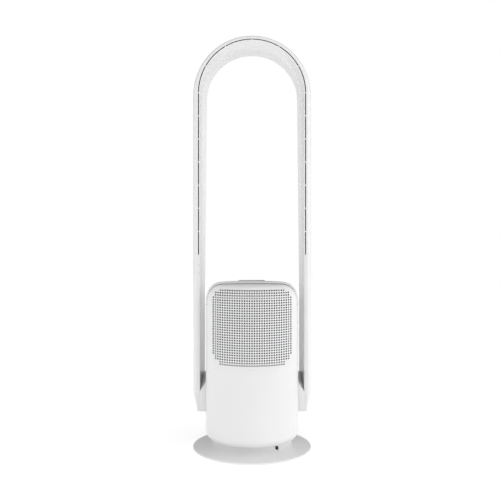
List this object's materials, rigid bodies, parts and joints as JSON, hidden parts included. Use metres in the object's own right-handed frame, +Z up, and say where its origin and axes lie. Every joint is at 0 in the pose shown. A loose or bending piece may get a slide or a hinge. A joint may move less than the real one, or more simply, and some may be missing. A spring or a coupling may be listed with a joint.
{
  "type": "tower fan",
  "caption": "Bladeless tower fan: drum-shaped body with a perforated intake, on a round flared base, and a tall hollow loop with an air slit along its edge.",
  "frame": {"origin": "centre of the base on the floor", "axes": "+Z up, +X to the right leg when the intake side faces the viewer, -Y out of the intake grille"},
  "size_m": [0.286, 0.278, 0.98],
  "materials": {
    "shell": "satin white",
    "chassis": "matt light grey",
    "black": "matt black",
    "dark_glass": "gloss black",
    "panel": "silver-grey lacquer",
    "rubber": "matt",
    "steel": "zinc plated",
    "acetal": "moulded",
    "board": "solder mask",
    "filter": "woven",
    "impeller": "moulded",
    "copper": "enamelled winding"
  },
  "bodies": {
    "base": {"base_cover": "shell", "base_bottom_plate": "chassis", "ballast_plate": "steel", "foot_1": "rubber", "foot_2": "rubber", "foot_3": "rubber", "foot_4": "rubber", "foot_5": "rubber", "base_screw_1": "steel", "base_screw_2": "steel", "base_screw_3": "steel", "base_screw_4": "steel", "power_inlet": "black", "power_inlet_pin": "steel", "spindle_tube": "steel", "swing_gear": "acetal", "thrust_washer": "acetal"},
    "head": {"body_shell": "shell", "loop_outer_shell": "shell", "loop_inner_shell": "shell", "left_duct": "shell", "right_duct": "shell", "left_leg_cap": "shell", "right_leg_cap": "shell", "left_slit_filler": "shell", "right_slit_filler": "shell", "body_floor": "chassis", "fan_housing": "chassis", "inlet_ring": "chassis", "display_lens": "dark_glass", "control_panel": "panel", "motor_damper_1": "rubber", "motor_damper_2": "rubber", "motor_damper_3": "rubber", "left_duct_seal": "rubber", "right_duct_seal": "rubber", "swing_motor": "steel", "floor_screw_1": "steel", "floor_screw_2": "steel", "floor_screw_3": "steel", "motor_mount": "steel", "motor_bearing_lower": "steel", "motor_bearing_upper": "steel", "control_board": "board", "main_board": "board", "motor_stator": "copper"},
    "rotor": {"impeller": "impeller", "motor_shaft": "steel", "rotor_bell": "steel", "impeller_nut": "steel"},
    "pinion": {"swing_pinion": "acetal"},
    "cover": {"grille_cover": "shell", "filter_frame": "chassis", "filter_mesh": "filter"}
  },
  "joints": [
    {"name": "swing", "type": "hinge", "parent": "base", "child": "head", "pos_m": [0, 0, 0.0247], "axis": [0, 0, 1], "range_deg": [-40, 40]},
    {"name": "pinion_spin", "type": "hinge", "parent": "head", "child": "pinion", "pos_m": [0, 0.048, 0.048], "axis": [0, 0, 1], "range_deg": [-125, 125]},
    {"name": "impeller_spin", "type": "hinge", "parent": "head", "child": "rotor", "pos_m": [0, 0, 0.15], "axis": [0, 0, 1], "continuous": true},
    {"name": "cover_pull", "type": "slide", "parent": "head", "child": "cover", "axis": [0, -1, 0], "range_m": [0, 0.15]}
  ],
  "couplings": [
    {"joint": "pinion_spin", "follows": "swing", "ratio": 3}
  ]
}
